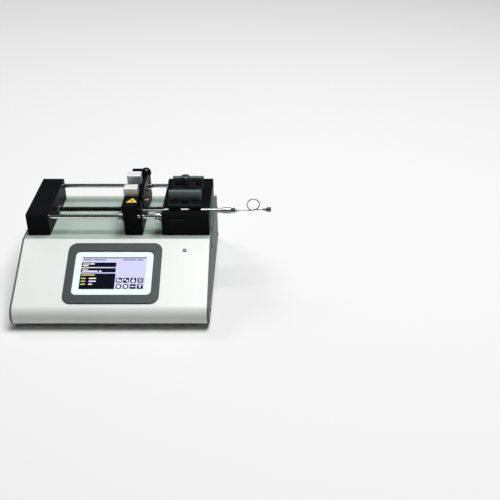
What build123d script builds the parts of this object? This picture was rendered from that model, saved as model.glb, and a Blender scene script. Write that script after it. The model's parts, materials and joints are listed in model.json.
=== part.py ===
from build123d import *
import os
from math import asin, atan2, cos, degrees, hypot, radians, sin, sqrt

os.makedirs("parts", exist_ok=True)

# A bench syringe pump with room for two syringes, and one small steel syringe loaded.
# +X is the infusing direction, +Y is the back, +Z is up.  The origin is the
# centre of the base's footprint, on the bench.  All sizes are millimetres.

# ---- base enclosure ----
shell_width = 278.0        # between the two side plates
side_plate = 3.0
base_depth = 261.0
deck_height = 87.0         # top of the deck above the bench
deck_depth = 149.5         # from the crease back to the rear face
nose_radius = 17.0
rear_bend = 13.0
sheet = 2.0
deck_thickness = 4.0
foot_height = 4.0
foot_diameter = 12.0
foot_inset = 12.5          # foot centre in from the shell's edge
foot_setback = 25.0        # foot centre in from the front and the back

# ---- screen ----
screen_width = 95.04       # active area of a 4.3 inch display
screen_height = 53.86
screen_drop = 59.5         # screen centre down the panel from the crease
opening_width = 115.0
opening_height = 73.4
opening_corner = 7.0
bezel_width = 139.0
bezel_height = 102.2
bezel_corner = 13.0
bezel_proud = 1.8
bezel_skirt = 4.0
glass_thickness = 1.1
lcd_thickness = 3.2
board_thickness = 1.6

# ---- indicator ----
indicator_x = 102.4
indicator_drop = 20.4
indicator_ring = 5.6
indicator_lens = 3.0

# ---- mechanism, placed by its depth behind the crease and height on the deck ----
block_front = 10.5
block_depth = 120.0
block_height = 35.3
drive_width = 33.5
drive_margin = 3.4         # drive cover in from the shell's left edge
cover_wall = 2.5
holder_width = 71.7
holder_margin = 0.5        # holder in from the shell's right edge
rod_diameter = 6.35
front_rod_inset = 9.9      # rod centre behind the blocks' front face
rear_rod_inset = 8.4       # rod centre in front of the blocks' rear face
rod_rise = 26.6            # rod centre above the deck
screw_diameter = 8.0
screw_journal = 6.0
screw_rise = 12.0
bearing_plate = 8.0
bearing_diameter = 13.0
bearing_width = 5.0
running_fit = 0.05         # radial clearance of a part that slides or turns
small_gap = 0.3            # clearance between pieces that move past each other

# ---- syringe and its seat ----
barrel_diameter = 7.0
barrel_bore = 4.6
barrel_length = 88.0
barrel_setback = 2.2       # barrel's back end past the holder's left face
groove_inset = 21.5        # V groove centre in from a block's front or back face
groove_depth = 9.3
plunger_diameter = 3.5
plunger_flange = 9.0
flange_thickness = 2.0
gland_diameter = 9.3
gland_length = 13.4
nut_across = 6.4
nut_length = 6.5
tip_length = 7.0
tube_diameter = 1.6
tube_bend = 9.3
tube_pitch = 2.4

# ---- carriage ----
carriage_x = 10.5          # left face at rest
carriage_width = 27.5
carriage_lift = 0.6        # clearance over the deck
carriage_core = 21.0       # width above the flange shelf
carriage_overhang = 1.8    # the top reaches this far past the left face
carriage_top = 49.5
carriage_step = 38.0       # lower top behind the back wall
carriage_back = 92.5       # where the back wall starts, behind the front face
back_wall = 5.0
back_wall_top = 64.3
back_wall_inset = 3.6      # wall in from the left face
flange_shelf = 20.5
retainer_thickness = 3.0
retainer_top = 58.0
retainer_travel = 2.5
bush_diameter = 12.0
jaw_width = 21.0
jaw_overhang = 2.3         # jaws past the carriage's left face
travel_forward = 16.0
button_travel = 4.0
button_height = 15.4
button_thickness = 4.5
push_rod = 4.0
nut_lift = 3.0

# ---- clamp ----
clamp_width = 48.5
clamp_shift = 1.6          # clamp left of the holder's middle
knob_shift = 3.6           # knob left of the clamp's middle
clamp_front = 15.0         # clamp's front edge behind the block's front face
clamp_depth = 86.0
clamp_gap = 3.7            # plate over the holder's top
clamp_plate = 6.0
front_wall_setback = 13.5
front_wall_height = 14.5
rear_wall_setback = 76.5
rear_wall_height = 6.5
wall_thickness = 7.0
window_width = 12.0
window_front = 3.0         # window behind the clamp's front edge
window_depth = 6.5
screw_spacing = 33.4
cap_head = 9.6
cap_head_height = 5.0
cap_shank = 5.0
counterbore = 10.4
counterbore_depth = 2.0
knob_diameter = 14.0
knob_height = 14.1
knob_setback = 67.0        # knob axis behind the clamp's front edge
stud_diameter = 5.0

# ---- collars ----
collar_diameter = 14.0
collar_length = 8.0
thumb_diameter = 7.0
thumb_length = 6.0
thumb_shank = 3.0

# ---- drive ----
screw_pulley = 20.0
motor_pulley = 10.0
pulley_width = 8.0
flange_lip = 1.5
belt_width = 6.0
belt_thickness = 1.4
motor_drop = 34.0          # motor axis below the deck
motor_size = 42.3
motor_length = 40.0
motor_shaft = 5.0

# ---- places worked out from the sizes ----
half_shell = shell_width / 2
y_front = -base_depth / 2
y_rear = base_depth / 2
y_crease = y_rear - deck_depth
z_floor = foot_height
deck = deck_height
nose_y = y_front + nose_radius
nose_z = z_floor + nose_radius
reach = hypot(y_crease - nose_y, deck - nose_z)
slope = atan2(deck - nose_z, y_crease - nose_y) - asin(nose_radius / reach)

y_block = y_crease + block_front
y_block_rear = y_block + block_depth
y_middle = y_block + block_depth / 2
y_rods = (y_block + front_rod_inset, y_block_rear - rear_rod_inset)
z_rod = deck + rod_rise
z_screw = deck + screw_rise
z_block = deck + block_height

drive_left = -half_shell + drive_margin
drive_right = drive_left + drive_width
plate_right = drive_right - cover_wall - small_gap
plate_left = plate_right - bearing_plate
holder_right = half_shell - holder_margin
holder_left = holder_right - holder_width
holder_middle = (holder_left + holder_right) / 2
clamp_middle = holder_middle - clamp_shift
knob_middle = clamp_middle - knob_shift
carriage_right = carriage_x + carriage_width
core_right = carriage_x + carriage_core
retainer_left = carriage_right - retainer_thickness

y_grooves = (y_block + groove_inset, y_block_rear - groove_inset)
y_syringe = y_grooves[0]
z_syringe = z_block - groove_depth + barrel_diameter / 2 * sqrt(2)
barrel_left = holder_left + barrel_setback
barrel_right = barrel_left + barrel_length
y_clamp = y_block + clamp_front
y_knob = y_clamp + knob_setback
z_clamp = z_block + clamp_gap
z_clamp_top = z_clamp + clamp_plate


def save(piece, label):
    """Name a finished piece and write it to its own file."""
    piece.part.label = label
    export_step(piece.part, f"parts/{label}.step")


def across(x):
    """Plane square to X at x, drawn in (Y, Z)."""
    return Plane.YZ.offset(x)


def facing_front(y):
    """Plane square to Y at y, drawn in (X, Z), whose normal points to the back."""
    return Plane(origin=(0, y, 0), x_dir=(-1, 0, 0), z_dir=(0, 1, 0))


def on_panel(drop, rise=0.0, x=0.0):
    """Plane on the slanted panel, a distance down it from the crease."""
    up_y = -sin(slope)
    up_z = cos(slope)
    y = y_crease - drop * cos(slope) + rise * up_y
    z = deck - drop * sin(slope) + rise * up_z
    return Plane(origin=(x, y, z), x_dir=(1, 0, 0), z_dir=(0, up_y, up_z))


panel_normal = Axis((0, 0, 0), (0, -sin(slope), cos(slope)))


def base_outline(inset):
    """Closed side outline of the base, drawn in (Y, Z), with its walls moved in."""
    crease_shift = inset * sin(slope) / (1 + cos(slope))
    nose = nose_radius - inset
    bend = rear_bend - inset
    tangent = (nose_y - nose * sin(slope), nose_z + nose * cos(slope))
    tip = (nose_y - nose * cos(slope / 2), nose_z - nose * sin(slope / 2))
    bottom = (nose_y, nose_z - nose)
    bend_y = y_rear - rear_bend
    bend_z = deck - rear_bend
    middle = (bend_y + bend * sin(radians(45)), bend_z + bend * sin(radians(45)))
    Line((bend_y, deck - inset), (y_crease + crease_shift, deck - inset))
    Line((y_crease + crease_shift, deck - inset), tangent)
    ThreePointArc(tangent, tip, bottom)
    Line(bottom, (y_rear - inset, z_floor + inset))
    Line((y_rear - inset, z_floor + inset), (y_rear - inset, bend_z))
    ThreePointArc((y_rear - inset, bend_z), middle, (bend_y, deck - inset))


# =====================  base enclosure  =====================
cover_lip = 14.0
cover_end = nose_y + cover_lip

# the bent sheet all round, from which the front and rear covers are cut
with BuildPart() as wrapped_sheet:
    with BuildSketch(across(-half_shell)):
        with BuildLine():
            base_outline(0)
        make_face()
        with BuildLine():
            base_outline(sheet)
        make_face(mode=Mode.SUBTRACT)
    extrude(amount=shell_width)


with BuildPart() as front_cover:
    add(wrapped_sheet.part)
    with BuildSketch(across(-half_shell)):
        with Locations(((y_front + y_crease) / 2, deck_height / 2)):
            Rectangle(y_crease - y_front, 2 * deck_height)
    extrude(amount=shell_width, mode=Mode.INTERSECT)
    with BuildSketch(Plane.XY.offset(z_floor - sheet)):
        with Locations((0, (cover_end + y_crease + sheet) / 2)):
            Rectangle(shell_width + sheet, y_crease + sheet - cover_end)
    extrude(amount=2 * sheet, mode=Mode.SUBTRACT)
    with BuildSketch(on_panel(screen_drop, -2 * sheet)):
        RectangleRounded(bezel_width - 12, bezel_height - 12, bezel_corner - 6)
    extrude(amount=4 * sheet, mode=Mode.SUBTRACT)
    with BuildSketch(on_panel(indicator_drop, -2 * sheet, indicator_x)):
        Circle(indicator_ring / 2)
    extrude(amount=4 * sheet, mode=Mode.SUBTRACT)
save(front_cover, "front_cover")

# rear sockets: middle x, middle z, width, height of each opening
rear_openings = {
    "inlet": (-98.0, 34.0, 27.4, 20.2),
    "rocker": (-62.0, 34.0, 19.4, 13.0),
    "usb": (20.0, 30.0, 12.4, 11.4),
    "serial": (48.0, 30.0, 13.6, 12.0),
    "serial_out": (68.0, 30.0, 13.6, 12.0),
    "control": (104.0, 30.0, 25.4, 11.0),
}
vent_slots = 12
vent_pitch = 7.0
vent_height = 14.0
vent_x = -20.0
vent_z = 60.0

with BuildPart() as rear_cover:
    add(wrapped_sheet.part)
    with BuildSketch(across(-half_shell)):
        with Locations((y_rear, deck_height / 2)):
            Rectangle(2 * rear_bend, 2 * deck_height)
    extrude(amount=shell_width, mode=Mode.INTERSECT)
    with BuildSketch(Plane.XY.offset(z_floor - sheet)):
        with Locations((0, y_rear - rear_bend / 2 - sheet)):
            Rectangle(shell_width + sheet, rear_bend)
    extrude(amount=2 * sheet, mode=Mode.SUBTRACT)
    with BuildSketch(facing_front(y_rear - 2 * sheet)):
        for opening in rear_openings.values():
            with Locations((-opening[0], opening[1])):
                Rectangle(opening[2], opening[3])
        with Locations((-vent_x, vent_z)):
            with GridLocations(vent_pitch, 1, vent_slots, 1):
                SlotOverall(vent_height, 3, rotation=90)
    extrude(amount=4 * sheet, mode=Mode.SUBTRACT)
save(rear_cover, "rear_cover")

motor_left = plate_left - 1.0
slot_left = drive_left + cover_wall + 2
slot_width = plate_left - slot_left - 1
belt_slot_depth = screw_pulley + 2 * flange_lip + 4
deck_end = y_rear - rear_bend

with BuildPart() as deck_plate:
    with BuildSketch(Plane.XY.offset(deck - deck_thickness)):
        with Locations((0, (y_crease + deck_end) / 2)):
            Rectangle(shell_width, deck_end - y_crease)
        with Locations((slot_left + slot_width / 2, y_middle)):
            RectangleRounded(slot_width, belt_slot_depth, 3, mode=Mode.SUBTRACT)
    extrude(amount=deck_thickness)
    with BuildSketch(across(-half_shell)):
        with BuildLine():
            base_outline(0)
        make_face()
    extrude(amount=shell_width, mode=Mode.INTERSECT)
save(deck_plate, "deck_plate")


def feet_places():
    """Middle of each rubber foot."""
    x = half_shell - foot_inset
    y = base_depth / 2 - foot_setback
    return [(-x, -y), (x, -y), (-x, y), (x, y)]


with BuildPart() as base_plate:
    with BuildSketch(Plane.XY.offset(z_floor)):
        with Locations((0, (cover_end + y_rear - sheet) / 2)):
            Rectangle(shell_width, y_rear - sheet - cover_end)
    extrude(amount=sheet)
    with BuildSketch(Plane.XY.offset(z_floor - 1)):
        with Locations(*[p for p in feet_places() if p[1] > 0]):
            Circle(1.6)
        with Locations((60, 20)):
            with GridLocations(8, 30, 9, 2):
                SlotOverall(22, 3, rotation=90)
    extrude(amount=sheet + 2, mode=Mode.SUBTRACT)
save(base_plate, "base_plate")

for side, name in ((-1, "left"), (1, "right")):
    start = half_shell if side > 0 else -half_shell - side_plate
    with BuildPart() as side_cover:
        with BuildSketch(across(start)):
            with BuildLine():
                base_outline(0)
            make_face()
        extrude(amount=side_plate)
        outer = side_cover.faces().sort_by(Axis.X)[-1 if side > 0 else 0]
        chamfer(outer.edges(), 0.6)
    save(side_cover, f"side_plate_{name}")

plate_screw_places = [
    (y_front + 30, z_floor + 12),
    (y_crease + 6, deck - 14),
    (y_rear - 14, deck - 20),
    (y_rear - 14, z_floor + 12),
]
with BuildPart() as side_plate_screws:
    for side in (-1, 1):
        with Locations(*[(side * (half_shell + side_plate), y, z) for y, z in plate_screw_places]):
            Cylinder(2.8, 1.4, rotation=(0, 90 * side, 0), align=(Align.CENTER, Align.CENTER, Align.MIN))
    for side in (-1, 1):
        with Locations(*[(side * (half_shell + side_plate + 1.4), y, z) for y, z in plate_screw_places]):
            Cylinder(1.2, 1.6, rotation=(0, 90, 0), mode=Mode.SUBTRACT)
save(side_plate_screws, "side_plate_screws")

with BuildPart() as rubber_feet:
    with BuildSketch(Plane.XY):
        with Locations(*feet_places()):
            Circle(foot_diameter / 2)
    extrude(amount=foot_height)
    chamfer(rubber_feet.faces().group_by(Axis.Z)[0].edges(), 0.8)
    with BuildSketch(Plane.XY.offset(-1)):
        with Locations(*feet_places()):
            Circle(3.2)
    extrude(amount=2.4, mode=Mode.SUBTRACT)
save(rubber_feet, "rubber_feet")

# =====================  screen  =====================
with BuildPart() as screen_bezel:
    with BuildSketch(on_panel(screen_drop)):
        RectangleRounded(bezel_width, bezel_height, bezel_corner)
        RectangleRounded(opening_width, opening_height, opening_corner, mode=Mode.SUBTRACT)
    extrude(amount=bezel_proud)
    fillet(screen_bezel.faces().sort_by(panel_normal)[-1].edges(), 0.8)
    with BuildSketch(on_panel(screen_drop, -bezel_skirt)):
        RectangleRounded(bezel_width - 12.4, bezel_height - 12.4, bezel_corner - 6.2)
        RectangleRounded(opening_width, opening_height, opening_corner, mode=Mode.SUBTRACT)
    extrude(amount=bezel_skirt)
save(screen_bezel, "screen_bezel")

with BuildPart() as touch_glass:
    with BuildSketch(on_panel(screen_drop, -glass_thickness)):
        RectangleRounded(opening_width, opening_height, opening_corner)
    extrude(amount=glass_thickness)
save(touch_glass, "touch_glass")

lcd_top = -glass_thickness
lcd_bottom = lcd_top - lcd_thickness
with BuildPart() as display_panel:
    with BuildSketch(on_panel(screen_drop, lcd_bottom)):
        RectangleRounded(screen_width + 10, screen_height + 13, 2)
    extrude(amount=lcd_thickness)
save(display_panel, "display_panel")

display_drop = 10.0
with BuildPart() as display_board:
    with BuildSketch(on_panel(screen_drop, -display_drop)):
        RectangleRounded(bezel_width - 20, bezel_height - 22, 2)
        with GridLocations(bezel_width - 28, bezel_height - 30, 2, 2):
            Circle(1.7, mode=Mode.SUBTRACT)
    extrude(amount=board_thickness)
    with BuildSketch(on_panel(screen_drop, -display_drop - 4)):
        with Locations((-20, 8), (25, -10)):
            Rectangle(16, 16)
        with Locations((0, -28)):
            Rectangle(40, 6)
    extrude(amount=4)
save(display_board, "display_board")

with BuildPart() as indicator_holder:
    with BuildSketch(on_panel(indicator_drop, -5, indicator_x)):
        Circle(indicator_ring / 2)
        Circle(indicator_lens / 2, mode=Mode.SUBTRACT)
    extrude(amount=5.6)
save(indicator_holder, "indicator_holder")

with BuildPart() as indicator_lens_part:
    with BuildSketch(on_panel(indicator_drop, -5, indicator_x)):
        Circle(indicator_lens / 2)
    extrude(amount=5.3)
save(indicator_lens_part, "indicator_lens")

# =====================  rear sockets  =====================
inlet = rear_openings["inlet"]
with BuildPart() as power_inlet:
    with BuildSketch(facing_front(y_rear - 22)):
        with Locations((-inlet[0], inlet[1])):
            Rectangle(inlet[2] - small_gap, inlet[3] - small_gap)
    extrude(amount=22)
    with BuildSketch(facing_front(y_rear)):
        with Locations((-inlet[0], inlet[1])):
            RectangleRounded(inlet[2] + 6, inlet[3] + 5, 2)
    extrude(amount=2.4)
    with BuildSketch(facing_front(y_rear - 15)):
        with Locations((-inlet[0], inlet[1])):
            RectangleRounded(inlet[2] - 4, inlet[3] - 5, 3)
    extrude(amount=20, mode=Mode.SUBTRACT)
    with BuildSketch(facing_front(y_rear - 16)):
        with Locations((-inlet[0] - 7, inlet[1] - 1), (-inlet[0], inlet[1] + 3), (-inlet[0] + 7, inlet[1] - 1)):
            Rectangle(2, 4)
    extrude(amount=12)
save(power_inlet, "power_inlet")

rocker = rear_openings["rocker"]
rocker_wall = 1.5
rocker_y = y_rear - 1.0
with BuildPart() as switch_frame:
    with BuildSketch(facing_front(y_rear - 14)):
        with Locations((-rocker[0], rocker[1])):
            Rectangle(rocker[2] - small_gap, rocker[3] - small_gap)
    extrude(amount=14)
    with BuildSketch(facing_front(y_rear)):
        with Locations((-rocker[0], rocker[1])):
            RectangleRounded(rocker[2] + 3, rocker[3] + 3, 1.2)
    extrude(amount=1.6)
    with BuildSketch(facing_front(y_rear - 11)):
        with Locations((-rocker[0], rocker[1])):
            Rectangle(rocker[2] - 2 * rocker_wall, rocker[3] - 2 * rocker_wall)
    extrude(amount=20, mode=Mode.SUBTRACT)
save(switch_frame, "switch_frame")

rocker_half = rocker[2] / 2 - rocker_wall - small_gap - 0.8
rocker_deep = rocker[3] - 2 * rocker_wall - 2 * small_gap
with BuildPart() as rocker_switch:
    with BuildSketch(Plane.XY.offset(rocker[1] - rocker_deep / 2)):
        with BuildLine():
            Polyline(
                (rocker[0] - rocker_half, rocker_y + 2.6),
                (rocker[0], rocker_y + 1.0),
                (rocker[0] + rocker_half, rocker_y + 2.6),
                (rocker[0] + rocker_half, rocker_y - 2.5),
                (rocker[0] - rocker_half, rocker_y - 2.5),
                close=True,
            )
        make_face()
    extrude(amount=rocker_deep)
save(rocker_switch, "rocker_switch")


# each data socket: its opening, mouth width, mouth height, tongue thickness
sockets = (
    (rear_openings["usb"], 8.6, 7.8, 3.2),
    (rear_openings["serial"], 9.8, 7.0, 1.4),
    (rear_openings["serial_out"], 9.8, 7.0, 1.4),
)
with BuildPart() as data_sockets:
    with BuildSketch(facing_front(y_rear - 14)):
        for opening, mouth, tall, tongue in sockets:
            with Locations((-opening[0], opening[1])):
                Rectangle(opening[2] - small_gap, opening[3] - small_gap)
    extrude(amount=14.8)
    with BuildSketch(facing_front(y_rear - 11)):
        for opening, mouth, tall, tongue in sockets:
            with Locations((-opening[0], opening[1])):
                Rectangle(mouth, tall)
    extrude(amount=14, mode=Mode.SUBTRACT)
    with BuildSketch(facing_front(y_rear - 11.5)):
        for opening, mouth, tall, tongue in sockets:
            with Locations((-opening[0], opening[1] + tall / 4)):
                Rectangle(mouth - 3, tongue)
    extrude(amount=10)
save(data_sockets, "data_sockets")

control = rear_openings["control"]
with BuildPart() as control_connector:
    with BuildSketch(facing_front(y_rear)):
        with Locations((-control[0], control[1])):
            RectangleRounded(39, 12.6, 2)
    extrude(amount=1.0)
    with BuildSketch(facing_front(y_rear - 10)):
        with Locations((-control[0], control[1])):
            Rectangle(control[2] - small_gap, control[3] - small_gap)
    extrude(amount=10)
    with BuildSketch(facing_front(y_rear + 1)):
        with Locations((-control[0], control[1])):
            Trapezoid(25, 8.4, 80)
    extrude(amount=5)
    with BuildSketch(facing_front(y_rear + 6)):
        with Locations((-control[0], control[1] + 1.4)):
            with GridLocations(2.77, 1, 8, 1):
                Circle(0.6)
        with Locations((-control[0], control[1] - 1.4)):
            with GridLocations(2.77, 1, 7, 1):
                Circle(0.6)
    extrude(amount=-4, mode=Mode.SUBTRACT)
    with BuildSketch(facing_front(y_rear + 1.0)):
        with Locations((-control[0] - 16.6, control[1]), (-control[0] + 16.6, control[1])):
            RegularPolygon(2.7, 6)
            Circle(1.3, mode=Mode.SUBTRACT)
    extrude(amount=4.6)
save(control_connector, "control_connector")

# =====================  inside the base  =====================
board_z = z_floor + sheet + 6
with BuildPart() as control_board:
    with BuildSketch(Plane.XY.offset(board_z)):
        with Locations((60, 35)):
            RectangleRounded(130, 90, 3)
            with GridLocations(118, 78, 2, 2):
                Circle(1.7, mode=Mode.SUBTRACT)
    extrude(amount=board_thickness)
    with BuildSketch(Plane.XY.offset(board_z + board_thickness)):
        with Locations((40, 40), (80, 20)):
            Rectangle(20, 20)
        with Locations((40, 10)):
            Rectangle(40, 8)
        with Locations((95, 55)):
            Rectangle(24, 12)
    extrude(amount=3)
save(control_board, "control_board")

with BuildPart() as board_standoffs:
    with BuildSketch(Plane.XY.offset(z_floor + sheet)):
        with Locations((60, 35)):
            with GridLocations(118, 78, 2, 2):
                RegularPolygon(3.2, 6)
                Circle(1.4, mode=Mode.SUBTRACT)
    extrude(amount=board_z - z_floor - sheet)
    with BuildSketch(on_panel(screen_drop, -display_drop + board_thickness)):
        with GridLocations(bezel_width - 28, bezel_height - 30, 2, 2):
            Circle(2.6)
            Circle(1.3, mode=Mode.SUBTRACT)
    extrude(amount=display_drop - board_thickness - bezel_skirt)
save(board_standoffs, "board_standoffs")

with BuildPart() as power_supply:
    with BuildSketch(Plane.XY.offset(z_floor + sheet)):
        with Locations((-70, -25)):
            Rectangle(90, 52)
    extrude(amount=26)
    fillet(power_supply.edges().filter_by(Axis.Z), 2)
    with BuildSketch(Plane.XY.offset(z_floor + sheet + 26)):
        with Locations((-70, -25)):
            with GridLocations(8, 16, 9, 2):
                SlotOverall(12, 3, rotation=90)
    extrude(amount=-3, mode=Mode.SUBTRACT)
save(power_supply, "power_supply")

# =====================  drive end  =====================
with BuildPart() as drive_cover:
    with BuildSketch(Plane.XY.offset(deck)):
        with Locations(((drive_left + drive_right) / 2, y_middle)):
            Rectangle(drive_width, block_depth)
    extrude(amount=block_height)
    fillet(drive_cover.edges().filter_by(Axis.Z), 1.2)
    chamfer(drive_cover.faces().sort_by(Axis.Z)[-1].edges(), 0.6)
    with BuildSketch(Plane.XY.offset(deck)):
        with Locations(((drive_left + drive_right) / 2, y_middle)):
            Rectangle(drive_width - 2 * cover_wall, block_depth - 2 * cover_wall)
    extrude(amount=block_height - cover_wall, mode=Mode.SUBTRACT)
    with BuildSketch(across(drive_right - 2 * cover_wall)):
        with Locations((y_rods[0], z_rod), (y_rods[1], z_rod)):
            Circle(rod_diameter / 2 + small_gap)
        with Locations((y_middle, z_screw)):
            Circle(screw_diameter / 2 + 1.5)
    extrude(amount=3 * cover_wall, mode=Mode.SUBTRACT)
save(drive_cover, "drive_cover")

plate_depth = block_depth - 2 * cover_wall - 1
plate_height = block_height - cover_wall - 0.5
with BuildPart() as bearing_plate_part:
    with BuildSketch(Plane.XY.offset(deck)):
        with Locations(((plate_left + plate_right) / 2, y_middle)):
            Rectangle(bearing_plate, plate_depth)
    extrude(amount=plate_height)
    with BuildSketch(across(plate_left)):
        with Locations((y_rods[0], z_rod), (y_rods[1], z_rod)):
            Circle(rod_diameter / 2)
        with Locations((y_middle, z_screw)):
            Circle(screw_journal / 2 + 1.5)
    extrude(amount=bearing_plate, mode=Mode.SUBTRACT)
    with BuildSketch(across(plate_left)):
        with Locations((y_middle, z_screw)):
            Circle(bearing_diameter / 2)
    extrude(amount=bearing_width, mode=Mode.SUBTRACT)
save(bearing_plate_part, "bearing_plate")


with BuildPart() as screw_bearings:
    for left in (plate_left, holder_left):
        with BuildSketch(across(left)):
            with Locations((y_middle, z_screw)):
                Circle(bearing_diameter / 2)
                Circle(screw_journal / 2 + running_fit, mode=Mode.SUBTRACT)
        extrude(amount=bearing_width)
        with BuildSketch(across(left)):
            with Locations((y_middle, z_screw)):
                Circle(bearing_diameter / 2 - 1.2)
                Circle(screw_journal / 2 + 1.2, mode=Mode.SUBTRACT)
        extrude(amount=0.4, mode=Mode.SUBTRACT)
save(screw_bearings, "screw_bearings")

rod_end = holder_right - 8
with BuildPart() as guide_rods:
    with BuildSketch(across(plate_left)):
        with Locations((y_rods[0], z_rod), (y_rods[1], z_rod)):
            Circle(rod_diameter / 2)
    extrude(amount=rod_end - plate_left)
    chamfer(guide_rods.edges().filter_by(GeomType.CIRCLE), 0.5)
save(guide_rods, "guide_rods")

pulley_left = plate_left - 2.0 - pulley_width - 2.0
thread_left = plate_right + cover_wall + 1.0
thread_right = holder_left - 0.5
with BuildPart() as lead_screw:
    with BuildSketch(across(pulley_left)):
        with Locations((y_middle, z_screw)):
            Circle(screw_journal / 2)
    extrude(amount=holder_left + bearing_width - pulley_left)
    with BuildSketch(across(thread_left)):
        with Locations((y_middle, z_screw)):
            Circle(screw_diameter / 2)
    extrude(amount=thread_right - thread_left)
save(lead_screw, "lead_screw")

with BuildPart() as screw_collar:
    with BuildSketch(across(drive_right + 0.2)):
        with Locations((y_middle, z_screw)):
            RegularPolygon(6.2, 6)
            Circle(screw_diameter / 2, mode=Mode.SUBTRACT)
    extrude(amount=4)
save(screw_collar, "screw_collar")


def pulley(label, y, z, diameter, bore):
    """Toothed pulley with a lip at each side."""
    with BuildPart() as wheel:
        with BuildSketch(across(pulley_left)):
            with Locations((y, z)):
                Circle(diameter / 2 + flange_lip)
        extrude(amount=1)
        with BuildSketch(across(pulley_left + 1)):
            with Locations((y, z)):
                Circle(diameter / 2)
                teeth = int(diameter * 1.5)
                with PolarLocations(diameter / 2, teeth):
                    Circle(0.5, mode=Mode.SUBTRACT)
        extrude(amount=pulley_width)
        with BuildSketch(across(pulley_left + 1 + pulley_width)):
            with Locations((y, z)):
                Circle(diameter / 2 + flange_lip)
        extrude(amount=1)
        with BuildSketch(across(pulley_left - 1)):
            with Locations((y, z)):
                Circle(bore / 2)
        extrude(amount=pulley_width + 4, mode=Mode.SUBTRACT)
    save(wheel, label)


z_motor = deck - motor_drop
pulley("screw_pulley", y_middle, z_screw, screw_pulley, screw_journal)
pulley("motor_pulley", y_middle, z_motor, motor_pulley, motor_shaft)


def belt_loop(gap):
    """Closed outline round both pulleys, a gap outside them, drawn in (Y, Z)."""
    high = screw_pulley / 2 + gap
    low = motor_pulley / 2 + gap
    lean = asin((high - low) / (z_screw - z_motor))
    side = cos(lean)
    lift = -sin(lean)
    for sign in (-1, 1):
        Line(
            (y_middle + sign * high * side, z_screw + high * lift),
            (y_middle + sign * low * side, z_motor + low * lift),
        )
    ThreePointArc(
        (y_middle - high * side, z_screw + high * lift),
        (y_middle, z_screw + high),
        (y_middle + high * side, z_screw + high * lift),
    )
    ThreePointArc(
        (y_middle - low * side, z_motor + low * lift),
        (y_middle, z_motor - low),
        (y_middle + low * side, z_motor + low * lift),
    )


belt_gap = 0.15
with BuildPart() as drive_belt:
    with BuildSketch(across(pulley_left + 1 + (pulley_width - belt_width) / 2)):
        with BuildLine():
            belt_loop(belt_gap + belt_thickness)
        make_face()
        with BuildLine():
            belt_loop(belt_gap)
        make_face(mode=Mode.SUBTRACT)
    extrude(amount=belt_width)
save(drive_belt, "drive_belt")

motor_face = plate_left + 4.0
bracket = 3.0
with BuildPart() as motor_bracket:
    with BuildSketch(across(motor_face - bracket)):
        with Locations((y_middle, deck - deck_thickness - 29)):
            Rectangle(motor_size + 4, 58)
        with Locations((y_middle, z_motor)):
            Circle(11.2, mode=Mode.SUBTRACT)
    extrude(amount=bracket)
    with BuildSketch(Plane.XY.offset(deck - deck_thickness - bracket)):
        with Locations((motor_face + 8, y_middle)):
            Rectangle(22, motor_size + 4)
    extrude(amount=bracket)
save(motor_bracket, "motor_bracket")

with BuildPart() as stepper_motor:
    with BuildSketch(across(motor_face)):
        with Locations((y_middle, z_motor)):
            Rectangle(motor_size, motor_size)
    extrude(amount=motor_length)
    chamfer(stepper_motor.edges().filter_by(Axis.X), 3)
    with BuildSketch(across(motor_face)):
        with Locations((y_middle, z_motor)):
            Circle(11)
    extrude(amount=-2)
save(stepper_motor, "stepper_motor")

with BuildPart() as motor_shaft_part:
    with BuildSketch(across(pulley_left)):
        with Locations((y_middle, z_motor)):
            Circle(motor_shaft / 2)
    extrude(amount=motor_face - 2.1 - pulley_left)
save(motor_shaft_part, "motor_shaft")

# =====================  syringe holder end  =====================
stud_pocket = 10.0
stud_pocket_diameter = 12.0
with BuildPart() as holder_block:
    with BuildSketch(Plane.XY.offset(deck)):
        with Locations((holder_middle, y_middle)):
            Rectangle(holder_width, block_depth)
    extrude(amount=block_height)
    fillet(holder_block.edges().filter_by(Axis.Z), 1.2)
    with BuildSketch(across(holder_left - 1)):
        for y in y_grooves:
            with BuildLine():
                Polyline(
                    (y - groove_depth - 1, z_block + 1),
                    (y, z_block - groove_depth),
                    (y + groove_depth + 1, z_block + 1),
                    close=True,
                )
            make_face()
    extrude(amount=holder_width + 2, mode=Mode.SUBTRACT)
    with BuildSketch(across(holder_left)):
        with Locations((y_rods[0], z_rod), (y_rods[1], z_rod)):
            Circle(rod_diameter / 2)
    extrude(amount=rod_end - holder_left, mode=Mode.SUBTRACT)
    with BuildSketch(across(holder_left)):
        with Locations((y_middle, z_screw)):
            Circle(bearing_diameter / 2)
    extrude(amount=bearing_width + 0.5, mode=Mode.SUBTRACT)
    with BuildSketch(Plane.XY.offset(z_block - stud_pocket)):
        with Locations((knob_middle, y_knob)):
            Circle(stud_pocket_diameter / 2)
    extrude(amount=stud_pocket + 1, mode=Mode.SUBTRACT)
save(holder_block, "holder_block")

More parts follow.
